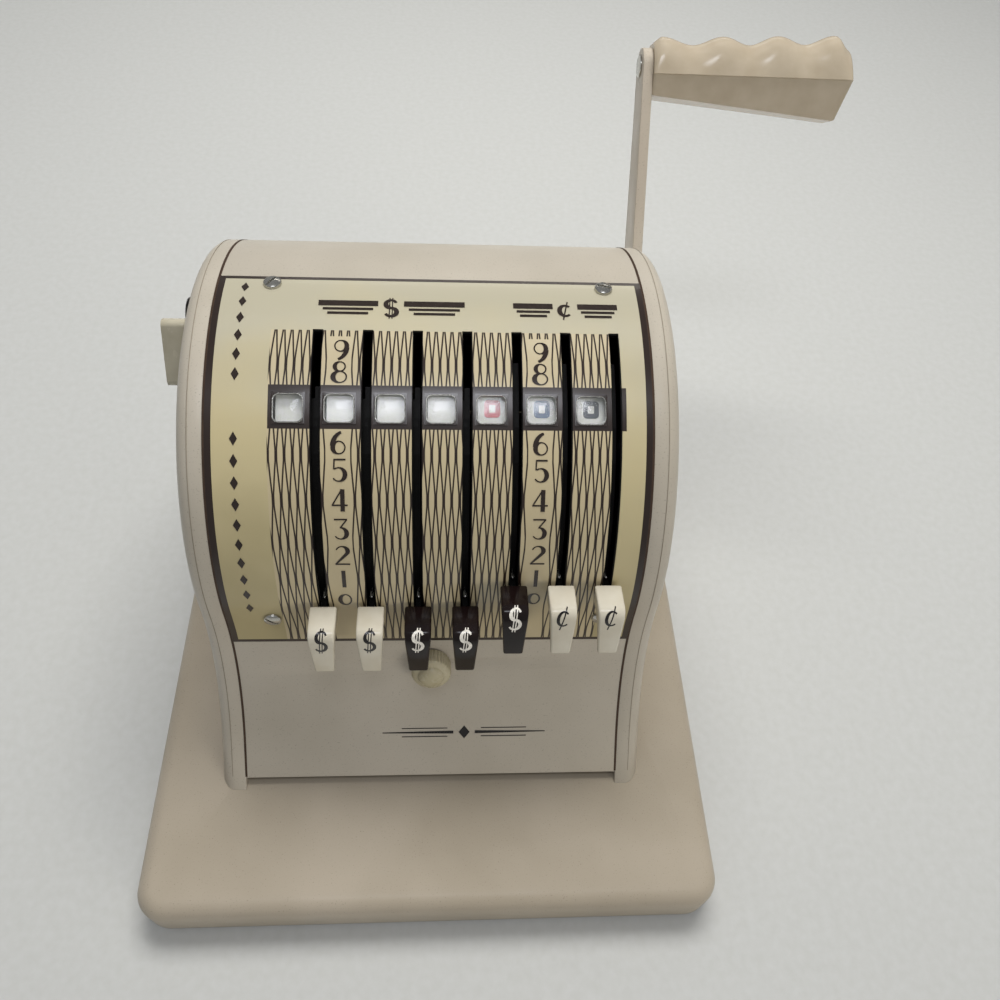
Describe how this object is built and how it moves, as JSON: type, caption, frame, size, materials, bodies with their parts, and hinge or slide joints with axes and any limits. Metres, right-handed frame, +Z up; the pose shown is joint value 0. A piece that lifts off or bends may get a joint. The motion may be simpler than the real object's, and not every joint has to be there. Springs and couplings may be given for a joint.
{
  "type": "check writer",
  "caption": "Desk check writer: round-topped case with lever slots and amount windows over a paper throat, on a flat base, with a side pull handle.",
  "frame": {"origin": "centre of the base footprint, at the level of the surface the foot pad stands on", "axes": "+Z up, +Y from the front edge of the base to its back, +X to the right where the handle is"},
  "size_m": [0.304, 0.3285, 0.2078],
  "materials": {
    "brass": "satin",
    "bright_steel": "bright nickel plate",
    "dark_plastic": "brown-black moulded plastic",
    "grip_plastic": "beige-grey moulded plastic",
    "inked_ribbon": "inked cloth",
    "ivory_plastic": "ivory moulded plastic",
    "label_plate": "cream printed sheet metal, glossy",
    "painted_body": "warm grey-beige spatter enamel, semi-gloss",
    "plated_steel": "zinc plated steel",
    "rubber": "matt black",
    "window_lenses": "clear domed lens"
  },
  "bodies": {
    "frame": {"base_casting": "painted_body", "bottom_plate": "plated_steel", "centre_cover": "painted_body", "cover_posts": "bright_steel", "cover_screws": "bright_steel", "detent_bar": "plated_steel", "detent_plungers": "bright_steel", "foot_pad": "rubber", "frame_feet": "plated_steel", "frame_foot_screws": "bright_steel", "guide_pins": "bright_steel", "label_plate": "label_plate", "label_screws": "bright_steel", "main_shaft": "bright_steel", "paper_stop": "plated_steel", "ribbon_band": "inked_ribbon", "ribbon_shield": "plated_steel", "shaft_spacers": "bright_steel", "side_cover_left": "painted_body", "side_cover_right": "painted_body", "side_frame_left": "plated_steel", "side_frame_right": "plated_steel", "tie_rods": "plated_steel", "type_shaft": "bright_steel", "window_lenses": "window_lenses"},
    "lever_1": {"sector_1": "plated_steel", "lever_cap_1": "ivory_plastic"},
    "lever_2": {"sector_2": "plated_steel", "lever_cap_2": "ivory_plastic"},
    "lever_3": {"sector_3": "plated_steel", "lever_cap_3": "dark_plastic"},
    "lever_4": {"sector_4": "plated_steel", "lever_cap_4": "dark_plastic"},
    "lever_5": {"sector_5": "plated_steel", "lever_cap_5": "dark_plastic"},
    "lever_6": {"sector_6": "plated_steel", "lever_cap_6": "ivory_plastic"},
    "lever_7": {"sector_7": "plated_steel", "lever_cap_7": "ivory_plastic"},
    "type_1": {"type_wheel_1": "brass"},
    "type_2": {"type_wheel_2": "brass"},
    "type_3": {"type_wheel_3": "brass"},
    "type_4": {"type_wheel_4": "brass"},
    "type_5": {"type_wheel_5": "brass"},
    "type_6": {"type_wheel_6": "brass"},
    "type_7": {"type_wheel_7": "brass"},
    "handle": {"handle_arm": "painted_body", "handle_grip": "grip_plastic", "grip_rivet": "bright_steel", "drive_shaft": "bright_steel", "handle_nut": "bright_steel", "eccentrics": "plated_steel"},
    "platen_lift": {"platen_carriage": "plated_steel", "platen": "bright_steel"},
    "knob": {"front_knob": "ivory_plastic"},
    "repeat_control": {"repeat_tab": "ivory_plastic"},
    "lock": {"key_lock": "bright_steel"},
    "front_spool": {"ribbon_spool_front": "inked_ribbon"},
    "rear_spool": {"ribbon_spool_rear": "inked_ribbon"}
  },
  "joints": [
    {"name": "lever_1_turn", "type": "hinge", "parent": "frame", "child": "lever_1", "pos_m": [-0.04002, 0.0428, 0.0936], "axis": [-1, 0, 0], "range_deg": [0, 70]},
    {"name": "type_1_turn", "type": "hinge", "parent": "frame", "child": "type_1", "pos_m": [-0.04002, -0.03401, 0.0467], "axis": [-1, 0, 0], "range_deg": [-300.5, 0.5]},
    {"name": "lever_2_turn", "type": "hinge", "parent": "frame", "child": "lever_2", "pos_m": [-0.02259, 0.0428, 0.0936], "axis": [-1, 0, 0], "range_deg": [0, 70]},
    {"name": "type_2_turn", "type": "hinge", "parent": "frame", "child": "type_2", "pos_m": [-0.02259, -0.03401, 0.0467], "axis": [-1, 0, 0], "range_deg": [-300.5, 0.5]},
    {"name": "lever_3_turn", "type": "hinge", "parent": "frame", "child": "lever_3", "pos_m": [-0.00516, 0.0428, 0.0936], "axis": [-1, 0, 0], "range_deg": [0, 70]},
    {"name": "type_3_turn", "type": "hinge", "parent": "frame", "child": "type_3", "pos_m": [-0.00516, -0.03401, 0.0467], "axis": [-1, 0, 0], "range_deg": [-300.5, 0.5]},
    {"name": "lever_4_turn", "type": "hinge", "parent": "frame", "child": "lever_4", "pos_m": [0.01227, 0.0428, 0.0936], "axis": [-1, 0, 0], "range_deg": [0, 70]},
    {"name": "type_4_turn", "type": "hinge", "parent": "frame", "child": "type_4", "pos_m": [0.01227, -0.03401, 0.0467], "axis": [-1, 0, 0], "range_deg": [-300.5, 0.5]},
    {"name": "lever_5_turn", "type": "hinge", "parent": "frame", "child": "lever_5", "pos_m": [0.0297, 0.0428, 0.0936], "axis": [-1, 0, 0], "range_deg": [-7, 63]},
    {"name": "type_5_turn", "type": "hinge", "parent": "frame", "child": "type_5", "pos_m": [0.0297, -0.03401, 0.0467], "axis": [-1, 0, 0], "range_deg": [-270.5, 30.5]},
    {"name": "lever_6_turn", "type": "hinge", "parent": "frame", "child": "lever_6", "pos_m": [0.04713, 0.0428, 0.0936], "axis": [-1, 0, 0], "range_deg": [-7, 63]},
    {"name": "type_6_turn", "type": "hinge", "parent": "frame", "child": "type_6", "pos_m": [0.04713, -0.03401, 0.0467], "axis": [-1, 0, 0], "range_deg": [-270.5, 30.5]},
    {"name": "lever_7_turn", "type": "hinge", "parent": "frame", "child": "lever_7", "pos_m": [0.06456, 0.0428, 0.0936], "axis": [-1, 0, 0], "range_deg": [-7, 63]},
    {"name": "type_7_turn", "type": "hinge", "parent": "frame", "child": "type_7", "pos_m": [0.06456, -0.03401, 0.0467], "axis": [-1, 0, 0], "range_deg": [-270.5, 30.5]},
    {"name": "handle_pull", "type": "hinge", "parent": "frame", "child": "handle", "pos_m": [0, 0.0728, 0.045], "axis": [1, 0, 0], "range_deg": [0, 66], "stiffness_Nm_per_rad": 0.25, "springref_deg": -22.92},
    {"name": "platen_rise", "type": "slide", "parent": "frame", "child": "platen_lift", "axis": [0, 0, 1], "range_m": [0, 0.00522]},
    {"name": "knob_turn", "type": "hinge", "parent": "frame", "child": "knob", "pos_m": [-0.0006, -0.04969, 0.07062], "axis": [0, -0.9391, 0.3437], "continuous": true},
    {"name": "repeat_swing", "type": "hinge", "parent": "frame", "child": "repeat_control", "pos_m": [-0.088, 0.02652, 0.15311], "axis": [1, 0, 0], "range_deg": [0, 30]},
    {"name": "lock_turn", "type": "hinge", "parent": "frame", "child": "lock", "pos_m": [-0.088, 0.0468, 0.16509], "axis": [1, 0, 0], "range_deg": [0, 90]},
    {"name": "front_spool_turn", "type": "hinge", "parent": "frame", "child": "front_spool", "pos_m": [0, -0.06011, 0.032], "axis": [1, 0, 0], "continuous": true},
    {"name": "rear_spool_turn", "type": "hinge", "parent": "frame", "child": "rear_spool", "pos_m": [0, -0.01311, 0.03], "axis": [1, 0, 0], "continuous": true}
  ],
  "couplings": [
    {"joint": "type_1_turn", "follows": "lever_1_turn", "ratio": -4.2857},
    {"joint": "type_2_turn", "follows": "lever_2_turn", "ratio": -4.2857},
    {"joint": "type_3_turn", "follows": "lever_3_turn", "ratio": -4.2857},
    {"joint": "type_4_turn", "follows": "lever_4_turn", "ratio": -4.2857},
    {"joint": "type_5_turn", "follows": "lever_5_turn", "ratio": -4.2857},
    {"joint": "type_6_turn", "follows": "lever_6_turn", "ratio": -4.2857},
    {"joint": "type_7_turn", "follows": "lever_7_turn", "ratio": -4.2857},
    {"joint": "platen_rise", "follows": "handle_pull", "m_per_rad": 0.0045106},
    {"joint": "rear_spool_turn", "follows": "front_spool_turn", "ratio": 1.8696}
  ]
}
